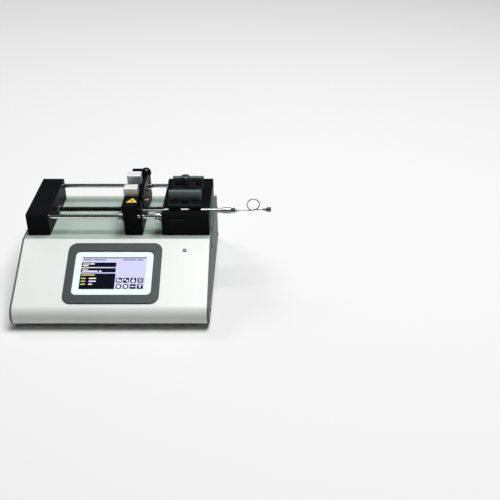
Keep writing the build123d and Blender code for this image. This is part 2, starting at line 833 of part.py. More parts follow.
seat = z_syringe + barrel_diameter / 2
pad_depth = 13.0
bore_places = [
    (clamp_middle - screw_spacing / 2, y_clamp + pad_depth / 2),
    (clamp_middle + screw_spacing / 2, y_clamp + pad_depth / 2),
    (clamp_middle - screw_spacing / 2, y_knob + 1.5),
    (clamp_middle + screw_spacing / 2, y_knob + 1.5),
]
with BuildPart() as clamp_bridge:
    with BuildSketch(Plane.XY.offset(z_clamp)):
        with Locations((clamp_middle, y_clamp + clamp_depth / 2)):
            Rectangle(clamp_width, clamp_depth)
    extrude(amount=clamp_plate)
    with BuildSketch(Plane.XY.offset(z_clamp_top)):
        with Locations((clamp_middle, y_clamp + front_wall_setback + wall_thickness / 2)):
            Rectangle(clamp_width, wall_thickness)
    extrude(amount=front_wall_height)
    with BuildSketch(Plane.XY.offset(z_clamp_top)):
        with Locations((clamp_middle, y_clamp + rear_wall_setback + wall_thickness / 2)):
            Rectangle(clamp_width, wall_thickness)
    extrude(amount=rear_wall_height)
    with BuildSketch(Plane.XY.offset(seat + 0.1)):
        with Locations((clamp_middle, y_clamp + pad_depth / 2)):
            Rectangle(clamp_width, pad_depth)
            Rectangle(window_width, pad_depth, mode=Mode.SUBTRACT)
    extrude(amount=z_clamp - seat - 0.1)
    chamfer(clamp_bridge.edges().filter_by(Axis.X).sort_by(Axis.Z)[-4:], 1.0)
    with BuildSketch(Plane.XY.offset(z_clamp - 1)):
        with Locations((clamp_middle, y_clamp + window_front + window_depth / 2)):
            RectangleRounded(window_width, window_depth, 2)
    extrude(amount=clamp_plate + 2, mode=Mode.SUBTRACT)
    with BuildSketch(Plane.XY.offset(z_clamp_top - counterbore_depth)):
        with Locations(*bore_places):
            Circle(counterbore / 2)
    extrude(amount=10, mode=Mode.SUBTRACT)
    with BuildSketch(Plane.XY.offset(seat)):
        with Locations(*bore_places):
            Circle(cap_shank / 2 + 0.2)
        with Locations((knob_middle, y_knob)):
            Circle(stud_diameter / 2 + 0.4)
    extrude(amount=20, mode=Mode.SUBTRACT)
save(clamp_bridge, "clamp_bridge")

with BuildPart() as clamp_cap_screws:
    with BuildSketch(Plane.XY.offset(z_clamp_top - counterbore_depth)):
        with Locations(*bore_places):
            Circle(cap_head / 2)
    extrude(amount=cap_head_height)
    chamfer(clamp_cap_screws.faces().group_by(Axis.Z)[-1].edges(), 0.5)
    with BuildSketch(Plane.XY.offset(z_clamp + 0.2)):
        with Locations(*bore_places):
            Circle(cap_shank / 2)
    extrude(amount=clamp_plate - counterbore_depth)
    with BuildSketch(Plane.XY.offset(z_clamp_top - counterbore_depth + cap_head_height)):
        with Locations(*bore_places):
            RegularPolygon(2.6, 6)
    extrude(amount=-3, mode=Mode.SUBTRACT)
save(clamp_cap_screws, "clamp_cap_screws")

stud_foot = z_block - stud_pocket
with BuildPart() as clamp_stud:
    with BuildSketch(Plane.XY.offset(stud_foot)):
        with Locations((knob_middle, y_knob)):
            Circle(stud_diameter / 2)
    extrude(amount=z_clamp_top + knob_height - 3 - stud_foot)
save(clamp_stud, "clamp_stud")

knurl_count = 36
with BuildPart() as clamp_knob:
    with BuildSketch(Plane.XY.offset(z_clamp_top + 0.1)):
        with Locations((knob_middle, y_knob)):
            Circle(knob_diameter / 2)
            with PolarLocations(knob_diameter / 2, knurl_count):
                Circle(0.35, mode=Mode.SUBTRACT)
    extrude(amount=knob_height)
    chamfer(clamp_knob.faces().sort_by(Axis.Z)[-1].edges(), 0.3)
    with BuildSketch(Plane.XY.offset(z_clamp_top)):
        with Locations((knob_middle, y_knob)):
            Circle(stud_diameter / 2 + running_fit)
    extrude(amount=knob_height - 1.5, mode=Mode.SUBTRACT)
save(clamp_knob, "clamp_knob")


def coil(label, base, radius, wire, pitch, height):
    """Compression spring standing on a plane."""
    with BuildPart() as spring:
        with BuildLine(base):
            path = Helix(pitch, height, radius)
        with BuildSketch(Plane(origin=path @ 0, z_dir=path % 0)):
            Circle(wire / 2)
        sweep(path=path)
    save(spring, label)


coil(
    "clamp_spring",
    Plane.XY.offset(stud_foot + 0.7).move(Location((knob_middle, y_knob, 0))),
    4.4, 1.0, 2.0, z_clamp - stud_foot - 2.0,
)

# =====================  carriage  =====================
z_carriage = deck + carriage_lift
y_back_wall = y_block + carriage_back
core_middle = (carriage_x + core_right) / 2
push_z = z_screw
nut_room = 23.0
nut_depth = 19.0
nut_width = 18.0
nut_height = 14.0
nut_left = core_middle - nut_width / 2
button_width = carriage_width - 6
pin_diameter = 4.0
pin_depth = 8.0
pin_places = ((y_middle - 12, deck + 34.0), (y_middle + 24, deck + 34.0))
with BuildPart() as carriage_body:
    with BuildSketch(Plane.XY.offset(z_carriage)):
        with Locations(((carriage_x + carriage_right) / 2, y_middle)):
            Rectangle(carriage_width, block_depth)
    extrude(amount=carriage_step - carriage_lift)
    fillet(carriage_body.edges().filter_by(Axis.Y).group_by(Axis.Z)[0], 2.5)
    with BuildSketch(Plane.XY.offset(deck + carriage_step)):
        with Locations((core_middle - carriage_overhang / 2, y_block + (carriage_back + back_wall) / 2)):
            Rectangle(carriage_core + carriage_overhang, carriage_back + back_wall)
    extrude(amount=carriage_top - carriage_step)
    with BuildSketch(Plane.XY.offset(deck + carriage_top)):
        with Locations((core_middle + back_wall_inset / 2, y_back_wall + back_wall / 2)):
            Rectangle(carriage_core - back_wall_inset, back_wall)
    extrude(amount=back_wall_top - carriage_top)
    with BuildSketch(Plane.XY.offset(deck + flange_shelf)):
        with Locations(((core_right + carriage_right) / 2, y_middle)):
            Rectangle(carriage_right - core_right, block_depth + 2)
    extrude(amount=carriage_step, mode=Mode.SUBTRACT)
    with BuildSketch(across(carriage_x)):
        with Locations((y_rods[0], z_rod), (y_rods[1], z_rod)):
            Circle(bush_diameter / 2)
    extrude(amount=carriage_core, mode=Mode.SUBTRACT)
    with BuildSketch(across(core_right)):
        with Locations((y_rods[0], z_rod), (y_rods[1], z_rod)):
            Circle(rod_diameter / 2 + 1)
    extrude(amount=carriage_width, mode=Mode.SUBTRACT)
    with BuildSketch(across(carriage_x)):
        with Locations((y_middle, z_screw)):
            Circle(screw_diameter / 2 + 1.5)
    extrude(amount=carriage_width, mode=Mode.SUBTRACT)
    with BuildSketch(Plane.XY.offset(z_carriage)):
        with Locations((core_middle, y_middle)):
            Rectangle(nut_width + 1, nut_room)
    extrude(amount=screw_rise + nut_height + nut_lift + 1, mode=Mode.SUBTRACT)
    with BuildSketch(across(core_right - pin_depth)):
        with Locations(*pin_places):
            Circle(pin_diameter / 2)
    extrude(amount=pin_depth, mode=Mode.SUBTRACT)
    with BuildSketch(facing_front(y_block)):
        with Locations((-(carriage_x + carriage_right) / 2, push_z)):
            RectangleRounded(button_width + 0.6, button_height + 0.6, 2.3)
    extrude(amount=button_thickness + button_travel + 4, mode=Mode.SUBTRACT)
    with BuildSketch(facing_front(y_block)):
        with Locations((-core_middle, push_z)):
            Circle(push_rod / 2 + 0.3)
    extrude(amount=block_depth / 2, mode=Mode.SUBTRACT)
save(carriage_body, "carriage_body")

with BuildPart() as release_button:
    with BuildSketch(facing_front(y_block)):
        with Locations((-(carriage_x + carriage_right) / 2, push_z)):
            RectangleRounded(button_width, button_height, 2)
    extrude(amount=button_thickness)
    chamfer(release_button.faces().sort_by(Axis.Y)[0].edges(), 0.5)
    with BuildSketch(facing_front(y_block + button_thickness)):
        with Locations((-core_middle, push_z)):
            Circle(push_rod / 2)
    rod_reach = y_middle - nut_depth / 2 - button_travel - 1 - y_block - button_thickness
    extrude(amount=rod_reach)
save(release_button, "release_button")

with BuildPart() as half_nut:
    with BuildSketch(Plane.XY.offset(z_screw)):
        with Locations((core_middle, y_middle)):
            Rectangle(nut_width, nut_depth)
    extrude(amount=nut_height)
    with BuildSketch(across(nut_left)):
        with Locations((y_middle, z_screw)):
            Circle(screw_diameter / 2 + running_fit)
    extrude(amount=nut_width, mode=Mode.SUBTRACT)
save(half_nut, "half_nut")

with BuildPart() as rod_bushes:
    with BuildSketch(across(carriage_x)):
        with Locations((y_rods[0], z_rod), (y_rods[1], z_rod)):
            Circle(bush_diameter / 2)
            Circle(rod_diameter / 2 + running_fit, mode=Mode.SUBTRACT)
    extrude(amount=carriage_core)
save(rod_bushes, "rod_bushes")

# each jaw: its name, how far behind the carriage's front face, length, height
front_jaw_setback = 31.5
jaw_sizes = (("front", front_jaw_setback, 15.5, 13.0), ("rear", 72.0, 16.8, 14.5))
for name, setback, length, height in jaw_sizes:
    with BuildPart() as jaw:
        with BuildSketch(Plane.XY.offset(deck + carriage_top)):
            with Locations((carriage_x - jaw_overhang + jaw_width / 2, y_block + setback + length / 2)):
                Rectangle(jaw_width, length)
        extrude(amount=height)
        chamfer(jaw.faces().sort_by(Axis.Z)[-1].edges(), 0.6)
    save(jaw, f"flange_jaw_{name}")

ball = 8.2
ball_seat = 44.6
ball_y = y_back_wall + back_wall + ball + 1.6
ball_x = carriage_right - 5.0
slot_floor = z_syringe - plunger_diameter / 2 - 0.8
slot_half = plunger_diameter / 2 + 0.8
with BuildPart() as retainer_plate:
    with BuildSketch(across(retainer_left)):
        with BuildLine():
            Polyline(
                (y_block + 2, deck + flange_shelf + small_gap),
                (y_block_rear - 1, deck + flange_shelf + small_gap),
                (y_block_rear - 1, deck + carriage_step),
                (ball_y + 7, deck + ball_seat),
                (ball_y - 7, deck + ball_seat),
                (y_back_wall + 1, deck + retainer_top),
                (y_block + 46, deck + retainer_top),
                (y_block + 2, deck + 44),
                close=True,
            )
        make_face()
        with Locations((y_rods[0], z_rod), (y_rods[1], z_rod)):
            Circle(rod_diameter / 2 + 0.8, mode=Mode.SUBTRACT)
        for y in y_grooves:
            with Locations((y, slot_floor + 30)):
                Rectangle(2 * slot_half, 60, mode=Mode.SUBTRACT)
        with Locations(*pin_places):
            Circle(pin_diameter / 2 + running_fit, mode=Mode.SUBTRACT)
    extrude(amount=retainer_thickness)
save(retainer_plate, "retainer_plate")

pin_reach = retainer_travel + 1.0
with BuildPart() as retainer_pins:
    with BuildSketch(across(core_right - pin_depth)):
        with Locations(*pin_places):
            Circle(pin_diameter / 2)
    extrude(amount=carriage_right + pin_reach - core_right + pin_depth)
    with BuildSketch(across(carriage_right + pin_reach)):
        with Locations(*pin_places):
            Circle(pin_diameter / 2 + 1.2)
    extrude(amount=1.2)
save(retainer_pins, "retainer_pins")

with BuildPart() as retainer_knob:
    with BuildSketch(facing_front(ball_y)):
        with BuildLine():
            top_z = deck + ball_seat - 0.4
            Line((-ball_x, top_z), (-ball_x, top_z + 2 * ball))
            ThreePointArc((-ball_x, top_z + 2 * ball), (-ball_x - ball, top_z + ball), (-ball_x, top_z))
        make_face()
    revolve(axis=Axis((ball_x, ball_y, 0), (0, 0, 1)), revolution_arc=360)
    split(bisect_by=Plane.XY.offset(deck + ball_seat), keep=Keep.TOP)
save(retainer_knob, "retainer_knob")

label_thickness = 0.2
label_side = 17.0
label_y = y_block + front_jaw_setback / 2 + 1
label_x = core_middle + 1.5
with BuildPart() as warning_label:
    with BuildSketch(Plane.XY.offset(deck + carriage_top)):
        with Locations((label_x, label_y)):
            RegularPolygon(label_side / sqrt(3), 3, rotation=90)
    extrude(amount=label_thickness)
    fillet(warning_label.edges().filter_by(Axis.Z), 1)
save(warning_label, "pinch_warning_label")


def collar(label, left, bore_gap):
    """Ring round the front rod, drilled for its thumb screw."""
    with BuildPart() as ring:
        with BuildSketch(across(left)):
            with Locations((y_rods[0], z_rod)):
                Circle(collar_diameter / 2)
        extrude(amount=collar_length)
        chamfer(ring.edges().filter_by(GeomType.CIRCLE), 0.6)
        with BuildSketch(across(left - 1)):
            with Locations((y_rods[0], z_rod)):
                Circle(rod_diameter / 2 + bore_gap)
        extrude(amount=collar_length + 2, mode=Mode.SUBTRACT)
        with BuildSketch(facing_front(y_rods[0] - collar_diameter)):
            with Locations((-left - collar_length / 2, z_rod)):
                Circle(thumb_shank / 2 + running_fit)
        extrude(amount=collar_diameter, mode=Mode.SUBTRACT)
    save(ring, label)


def thumb_screw(label, left):
    """Knurled thumb screw on the front of a collar."""
    head_back = y_rods[0] - collar_diameter / 2 - 0.4
    with BuildPart() as screw:
        with BuildSketch(facing_front(head_back - thumb_length)):
            with Locations((-left - collar_length / 2, z_rod)):
                Circle(thumb_diameter / 2)
                with PolarLocations(thumb_diameter / 2, 20):
                    Circle(0.3, mode=Mode.SUBTRACT)
        extrude(amount=thumb_length)
        with BuildSketch(facing_front(head_back)):
            with Locations((-left - collar_length / 2, z_rod)):
                Circle(thumb_shank / 2)
        extrude(amount=collar_diameter / 2 - rod_diameter / 2 - 0.2)
    save(screw, label)


carriage_collar_left = carriage_x - collar_length - 1.0
stop_collar_left = holder_left - collar_length - 1.8
collar("carriage_collar", carriage_collar_left, running_fit)
thumb_screw("carriage_thumb_screw", carriage_collar_left)
collar("stop_collar", stop_collar_left, running_fit)
thumb_screw("stop_thumb_screw", stop_collar_left)

# =====================  syringe  =====================
with BuildPart() as syringe_barrel:
    with BuildSketch(across(barrel_left)):
        with Locations((y_syringe, z_syringe)):
            Circle(barrel_diameter / 2)
            Circle(barrel_bore / 2, mode=Mode.SUBTRACT)
    extrude(amount=barrel_length)
save(syringe_barrel, "syringe_barrel")

flange_left = core_right + (retainer_left - core_right - flange_thickness) / 2
plunger_end = barrel_right - travel_forward - 2.0
seal_length = 5.0
with BuildPart() as syringe_plunger:
    with BuildSketch(across(flange_left)):
        with Locations((y_syringe, z_syringe)):
            Circle(plunger_flange / 2 - 0.4)
    extrude(amount=flange_thickness)
    with BuildSketch(across(flange_left)):
        with Locations((y_syringe, z_syringe)):
            Circle(plunger_diameter / 2)
    extrude(amount=plunger_end - seal_length - flange_left)
save(syringe_plunger, "syringe_plunger")

with BuildPart() as plunger_seal:
    with BuildSketch(across(plunger_end - seal_length)):
        with Locations((y_syringe, z_syringe)):
            Circle(barrel_bore / 2 - running_fit)
    extrude(amount=seal_length)
save(plunger_seal, "plunger_seal")

gland_right = barrel_right + gland_length
nut_right = gland_right + nut_length
with BuildPart() as barrel_gland:
    with BuildSketch(across(barrel_right)):
        with Locations((y_syringe, z_syringe)):
            Circle(gland_diameter / 2)
    extrude(amount=gland_length)
    chamfer(barrel_gland.edges().filter_by(GeomType.CIRCLE), 0.6)
    with BuildSketch(across(barrel_right - 1)):
        with Locations((y_syringe, z_syringe)):
            Circle(tube_diameter / 2)
    extrude(amount=gland_length + 2, mode=Mode.SUBTRACT)
save(barrel_gland, "barrel_gland")

loop_x = holder_right + 65.7
tube_end = holder_right + 86.0
loop_plane = Plane(origin=(loop_x, 0, tube_bend), x_dir=(0, 0, -1), z_dir=(0, 1, 0))
with BuildPart() as outlet_tube:
    with BuildSketch(across(barrel_right + 1)):
        Circle(tube_diameter / 2)
    extrude(amount=loop_x - barrel_right - 1)
    with BuildLine():
        turn = Helix(tube_pitch, tube_pitch, tube_bend).located(loop_plane.location)
    with BuildSketch(Plane(origin=turn @ 0, z_dir=turn % 0)):
        Circle(tube_diameter / 2)
    sweep(path=turn)
    with BuildSketch(across(loop_x)):
        with Locations((tube_pitch, 0)):
            Circle(tube_diameter / 2)
    extrude(amount=tube_end + nut_length - loop_x)
    with Locations((loop_x, 0, 0), (loop_x, tube_pitch, 0)):
        Sphere(tube_diameter / 2)
outlet_tube.part = outlet_tube.part.moved(Location((0, y_syringe, z_syringe)))
save(outlet_tube, "outlet_tube")

# both nuts of the outlet tube: where each starts, which way it points, its Y
nut_places = ((gland_right, 1, y_syringe), (tube_end + nut_length, -1, y_syringe + tube_pitch))
with BuildPart() as tube_nuts:
    for start, way, y in nut_places:
        with BuildSketch(across(start)):
            with Locations((y, z_syringe)):
                RegularPolygon(nut_across / 2, 6, major_radius=False)
        extrude(amount=way * nut_length)
        with BuildSketch(across(start + way * nut_length)):
            with Locations((y, z_syringe)):
                Circle(nut_across / 2 - 0.6)
        extrude(amount=way * tip_length, taper=13)
        with BuildSketch(across(start)):
            with Locations((y, z_syringe)):
                Circle(tube_diameter / 2)
        extrude(amount=way * (nut_length + tip_length + 1), mode=Mode.SUBTRACT)
save(tube_nuts, "tube_nuts")
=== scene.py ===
import json
from math import cos, pi, radians, sin

import bmesh
import bpy
from mathutils import Matrix, Vector


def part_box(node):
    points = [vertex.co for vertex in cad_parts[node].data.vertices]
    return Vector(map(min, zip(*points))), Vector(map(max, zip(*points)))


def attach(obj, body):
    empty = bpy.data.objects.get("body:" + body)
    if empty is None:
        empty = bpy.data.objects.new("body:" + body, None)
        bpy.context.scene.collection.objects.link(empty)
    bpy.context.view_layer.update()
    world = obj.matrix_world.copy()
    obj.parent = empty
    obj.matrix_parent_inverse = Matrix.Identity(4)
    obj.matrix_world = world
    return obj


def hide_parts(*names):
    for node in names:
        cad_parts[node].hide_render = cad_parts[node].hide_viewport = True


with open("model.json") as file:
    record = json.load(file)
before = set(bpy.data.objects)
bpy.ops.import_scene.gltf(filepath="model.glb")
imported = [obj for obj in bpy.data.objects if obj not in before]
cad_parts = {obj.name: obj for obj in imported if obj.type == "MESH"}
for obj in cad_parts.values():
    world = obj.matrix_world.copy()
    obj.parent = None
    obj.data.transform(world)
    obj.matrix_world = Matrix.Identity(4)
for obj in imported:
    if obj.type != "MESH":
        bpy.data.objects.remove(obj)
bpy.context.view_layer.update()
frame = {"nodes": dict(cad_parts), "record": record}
nodes = frame["nodes"]
MM = 0.001
node_body = {n: b for b, members in frame["record"]["behaviour"]["bodies"].items() for n in members}
node_slot = {p["node"]: p["material_slot"] for p in frame["record"]["subparts"]}


def middle(node):
    """Centre of a CAD node's box."""
    low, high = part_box(node)
    return (low + high) / 2


def span(node):
    """Size of a CAD node's box."""
    low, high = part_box(node)
    return high - low


# =====================  finishes  =====================
first_colour, second_colour = 6, 7    # the mix node's two colour inputs
noise_low, noise_high = 0.3, 0.7      # the stretch in which most of a noise's values lie


class Finish:
    """A material being built: its shader, its pattern coordinates and short ways to add nodes."""

    def __init__(self, name, colour, roughness, metal=0.0, **sockets):
        self.material = bpy.data.materials.new(name)
        self.material.use_nodes = True
        self.tree = self.material.node_tree
        self.shader = self.tree.nodes["Principled BSDF"]
        self.shader.inputs["Base Color"].default_value = (*colour, 1)
        self.shader.inputs["Roughness"].default_value = roughness
        self.shader.inputs["Metallic"].default_value = metal
        for socket, value in sockets.items():
            self.shader.inputs[socket.replace("_", " ")].default_value = value
        self.colour = colour
        self.roughness = roughness
        self.place = self.add("ShaderNodeTexCoord").outputs["Object"]

    def add(self, kind, **inputs):
        node = self.tree.nodes.new(kind)
        for socket, value in inputs.items():
            self.set(node, socket.replace("_", " "), value)
        return node

    def set(self, node, socket, value):
        if isinstance(value, bpy.types.NodeSocket):
            self.tree.links.new(value, node.inputs[socket])
        else:
            node.inputs[socket].default_value = value

    def noise(self, scale, detail=3.0, stretch=(1, 1, 1)):
        """Noise on the piece's own coordinates, stretched by axis."""
        mapping = self.add("ShaderNodeMapping", Vector=self.place, Scale=stretch)
        pattern = self.add("ShaderNodeTexNoise", Vector=mapping.outputs[0], Scale=scale, Detail=detail)
        return pattern.outputs["Fac"]

    def between(self, factor, low, high):
        """A number that runs from low to high as factor runs over the middle of the noise."""
        ramp = self.add("ShaderNodeMapRange", Value=factor)
        ramp.inputs["From Min"].default_value = noise_low
        ramp.inputs["From Max"].default_value = noise_high
        ramp.inputs["To Min"].default_value = low
        ramp.inputs["To Max"].default_value = high
        return ramp.outputs[0]

    def mottle(self, factor, spread):
        """Varies the colour a little, lighter and darker, by factor."""
        mix = self.add("ShaderNodeMix")
        mix.data_type = "RGBA"
        self.tree.links.new(factor, mix.inputs["Factor"])
        mix.inputs[first_colour].default_value = (*[c * (1 - spread) for c in self.colour], 1)
        mix.inputs[second_colour].default_value = (*[min(1, c * (1 + spread)) for c in self.colour], 1)
        self.tree.links.new(mix.outputs[2], self.shader.inputs["Base Color"])

    def paint_shade_below(self, level, below):
        """A second, darker colour on everything lower than a level of the piece's own height, standing as
        painted shade.
        """
        split = self.add("ShaderNodeSeparateXYZ", Vector=self.place)
        edge = 0.0002
        ramp = self.add("ShaderNodeMapRange", Value=split.outputs["Z"])
        ramp.inputs["From Min"].default_value = level - edge
        ramp.inputs["From Max"].default_value = level + edge
        mix = self.add("ShaderNodeMix")
        mix.data_type = "RGBA"
        self.tree.links.new(ramp.outputs[0], mix.inputs["Factor"])
        mix.inputs[first_colour].default_value = (*below, 1)
        above = self.shader.inputs["Base Color"].links[0].from_socket
        self.tree.links.new(above, mix.inputs[second_colour])
        self.tree.links.new(mix.outputs[2], self.shader.inputs["Base Color"])

    def vary_gloss(self, factor, spread):
        low, high = self.roughness - spread, self.roughness + spread
        self.set(self.shader, "Roughness", self.between(factor, max(0.02, low), high))

    def bump(self, height, distance, strength=1.0):
        bump = self.add("ShaderNodeBump", Height=height, Distance=distance, Strength=strength)
        self.tree.links.new(bump.outputs[0], self.shader.inputs["Normal"])


def painted(name, colour, roughness, grain=900, spread=0.02, depth=0.00001, shine=0.4):
    """Sprayed paint: a slightly uneven colour and gloss over a fine orange peel."""
    finish = Finish(name, colour, roughness, Specular_IOR_Level=shine)
    finish.mottle(finish.noise(14), spread)
    finish.vary_gloss(finish.noise(60), 0.04)
    finish.bump(finish.noise(grain, 2), depth, 0.35)
    return finish.material


plate_edge = 0.1324    # height just over the clamp's plate, where its walls begin
# Colour of the clamp's plate: its own black finish, darkened further as painted shade and painted dark
# reflection.
plate_black_and_painted_shade = (0.005, 0.007, 0.007)


def clamp_finish():
    """Lighter grey-green walls standing on a near-black plate; the plate's near-black is its own dark finish
    deepened as painted shade and painted dark reflection.
    """
    finish = Finish("clamp_anodised", (0.095, 0.128, 0.126), 0.30, Specular_IOR_Level=0.5)
    finish.mottle(finish.noise(14), 0.06)
    # Painted shade: everything below the foot of the walls is coloured near-black.
    finish.paint_shade_below(plate_edge, plate_black_and_painted_shade)
    finish.vary_gloss(finish.noise(60), 0.04)
    finish.bump(finish.noise(900, 2), 0.000004, 0.35)
    return finish.material


def brushed(name, colour, roughness, stretch, depth=0.00002, metal=1.0):
    """Metal with fine straight tool marks across the stretched axis."""
    finish = Finish(name, colour, roughness, metal)
    lines = finish.noise(1200, 2, stretch)
    finish.mottle(finish.noise(25), 0.06)
    finish.vary_gloss(lines, 0.08)
    finish.bump(lines, depth, 0.4)
    return finish.material


def moulded(name, colour, roughness, grain=2600, depth=0.00001):
    """Moulded plastic or rubber with a fine even grain."""
    finish = Finish(name, colour, roughness, Specular_IOR_Level=0.3)
    finish.mottle(finish.noise(30), 0.08)
    finish.vary_gloss(finish.noise(90), 0.05)
    finish.bump(finish.noise(grain, 2), depth, 0.5)
    return finish.material


def lit(name, colour, glow):
    """A stretch of the lit picture under clear glass."""
    finish = Finish(name, colour, 0.10, Specular_IOR_Level=0.25)
    finish.shader.inputs["Emission Color"].default_value = (*colour, 1)
    finish.shader.inputs["Emission Strength"].default_value = glow
    dots = finish.noise(3000, 1)
    finish.mottle(dots, 0.015)
    return finish.material


finishes = {
    "pearl_paint": painted("pearl_paint", (0.67, 0.70, 0.67), 0.36),
    "grey_green_paint": painted("grey_green_paint", (0.080, 0.118, 0.104), 0.50, shine=0.15),
    # The deck's grey-green is partly its own paint and partly painted shade and painted reflection of the
    # dark ceiling over the flat deck.
    "deck_paint": painted("deck_paint", (0.335, 0.410, 0.372), 0.34, spread=0.008, depth=0.000004, shine=0.5),
    "black_anodised": painted(
        "black_anodised", (0.0035, 0.004, 0.0045), 0.46, spread=0.15, depth=0.000004, shine=0.05,
    ),
    "clamp_anodised": clamp_finish(),
    "zinc_steel": brushed("zinc_steel", (0.62, 0.64, 0.65), 0.30, (1, 1, 1)),
    "stainless": brushed("stainless", (0.33, 0.34, 0.34), 0.36, (12, 1, 1), 0.000003),
    "chrome_rod": brushed("chrome_rod", (0.84, 0.85, 0.86), 0.10, (9, 1, 1), 0.0000003),
    "aluminium": brushed("aluminium", (0.80, 0.83, 0.85), 0.50, (1, 1, 7), 0.000004, 0.55),
    "black_oxide": brushed("black_oxide", (0.022, 0.022, 0.024), 0.32, (1, 1, 1)),
    "brass": brushed("brass", (0.78, 0.58, 0.27), 0.28, (6, 1, 1)),
    "black_rubber": moulded("black_rubber", (0.018, 0.018, 0.018), 0.70, 1500),
    "belt_rubber": moulded("belt_rubber", (0.020, 0.020, 0.021), 0.62, 1800),
    "bezel_plastic": moulded("bezel_plastic", (0.028, 0.037, 0.039), 0.45),
    "black_plastic": moulded("black_plastic", (0.010, 0.010, 0.011), 0.42),
    "ptfe": moulded("ptfe", (0.80, 0.80, 0.77), 0.40),
    "screen_glass": lit("screen_border", (0.70, 0.82, 0.87), 0.10),
    "screen_face": lit("screen_face", (0.52, 0.52, 0.80), 0.15),
    "lens": moulded("lens", (0.30, 0.35, 0.32), 0.15, 900, 0.000003),
    "knob_plastic": moulded("knob_plastic", (0.004, 0.004, 0.005), 0.18, 900, 0.000003),
    "yellow_label": moulded("yellow_label", (0.70, 0.48, 0.02), 0.35, 900, 0.000003),
    "board_green": moulded("board_green", (0.012, 0.10, 0.045), 0.45, 700, 0.00002),
}
screen_ink = lit("screen_ink", (0.004, 0.004, 0.010), 0.0)
screen_white = lit("screen_white", (0.74, 0.76, 0.84), 0.2)
screen_amber = lit("screen_amber", (0.62, 0.52, 0.16), 0.1)
label_ink = moulded("label_ink", (0.012, 0.011, 0.010), 0.4, 900, 0.000003)
own_finishes = {
    "indicator_holder": moulded("dark_ring", (0.03, 0.035, 0.035), 0.4),
    "carriage_collar": brushed("turned_collar", (0.50, 0.51, 0.52), 0.30, (9, 1, 1), 0.000003),
    "side_plate_screws": brushed("dark_screws", (0.12, 0.14, 0.13), 0.42, (1, 1, 1), 0.000004),
    "outlet_tube": brushed("drawn_tube", (0.30, 0.30, 0.31), 0.30, (12, 1, 1), 0.000003),
    "clamp_knob": brushed("dark_knob", (0.10, 0.11, 0.11), 0.42, (1, 1, 1), 0.000004, 0.7),
}
own_finishes["stop_collar"] = own_finishes["carriage_collar"]


# =====================  shapes  =====================
def as_piece(name, mesh, finish, body):
    """Puts a finished mesh in the scene with one finish, riding on its body."""
    piece = bpy.data.objects.new(name, mesh)
    bpy.context.scene.collection.objects.link(piece)
    mesh.materials.clear()
    mesh.materials.append(finish)
    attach(piece, body)
    return piece


def plain_mesh(holder, name):
    """The evaluated shape of an object as a plain mesh; the object is removed."""
    graph = bpy.context.evaluated_depsgraph_get()
    mesh = bpy.data.meshes.new_from_object(holder.evaluated_get(graph))
    mesh.name = name
    bpy.data.objects.remove(holder)
    return mesh


def merged_copy(node):
    """A copy of a CAD node's mesh with its loose triangles joined into clean faces."""
    form = bmesh.new()
    form.from_mesh(nodes[node].data)
    bmesh.ops.remove_doubles(form, verts=form.verts, dist=2e-6)
    bmesh.ops.dissolve_degenerate(form, edges=form.edges, dist=1e-6)
    bmesh.ops.dissolve_limit(form, angle_limit=radians(0.6), verts=form.verts, edges=form.edges)
    mesh = bpy.data.meshes.new(node)
    form.to_mesh(mesh)
    form.free()
    return mesh


def eased(node, width):
    """Stands for a CAD node with its sharp edges eased and its round faces shaded smooth."""
    mesh = merged_copy(node)
    holder = bpy.data.objects.new(node + "_holder", mesh)
    bpy.context.scene.collection.objects.link(holder)
    mesh.shade_smooth()
    if width:
        bevel = holder.modifiers.new("ease", "BEVEL")
        bevel.width = width * MM
        bevel.segments = 2
        bevel.limit_method = "ANGLE"
        bevel.angle_limit = radians(40)
        bevel.use_clamp_overlap = True
        bevel.harden_normals = False
    shape = plain_mesh(holder, node + "_bevelled")
    shape.set_sharp_from_angle(angle=radians(38))
    holder = bpy.data.objects.new(node + "_shading", shape)
    bpy.context.scene.collection.objects.link(holder)
    level = holder.modifiers.new("level", "WEIGHTED_NORMAL")
    level.keep_sharp = True
    shape = plain_mesh(holder, node + "_shape")
    slot = node_slot[node]
    finish = own_finishes.get(node, finishes[slot])
    piece = as_piece(node + "_finished", shape, finish, node_body[node])
    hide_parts(node)
    return piece


def from_form(form, name):
    """Ends a bmesh as a mesh with outward faces and smooth round sides."""
    bmesh.ops.remove_doubles(form, verts=form.verts, dist=1e-6)
    bmesh.ops.recalc_face_normals(form, faces=form.faces)
    mesh = bpy.data.meshes.new(name)
    form.to_mesh(mesh)
    form.free()
    mesh.shade_smooth()
    mesh.set_sharp_from_angle(angle=radians(35))
    return mesh


def turned(profile, axis, centre, sides=48):
    """A turned shape: profile lists (radius, height) in metres along an axis through centre."""
    form = bmesh.new()
    spin = Vector((0, 0, 1)).rotation_difference(Vector(axis)).to_matrix().to_4x4()
    place = Matrix.Translation(centre) @ spin
    rings = []
    for radius, height in profile:
        if radius < 1e-7:
            rings.append([form.verts.new(place @ Vector((0, 0, height)))])
            continue
        ring = []
        for k in range(sides):
            turn = 2 * pi * k / sides
            ring.append(form.verts.new(place @ Vector((radius * cos(turn), radius * sin(turn), height))))
        rings.append(ring)
    for low, high in zip(rings, rings[1:]):
        for k in range(sides):
            n = (k + 1) % sides
            if len(low) == 1:
                form.faces.new((low[0], high[n], high[k]))
            elif len(high) == 1:
                form.faces.new((low[k], low[n], high[0]))
            else:
                form.faces.new((low[k], low[n], high[n], high[k]))
    return form


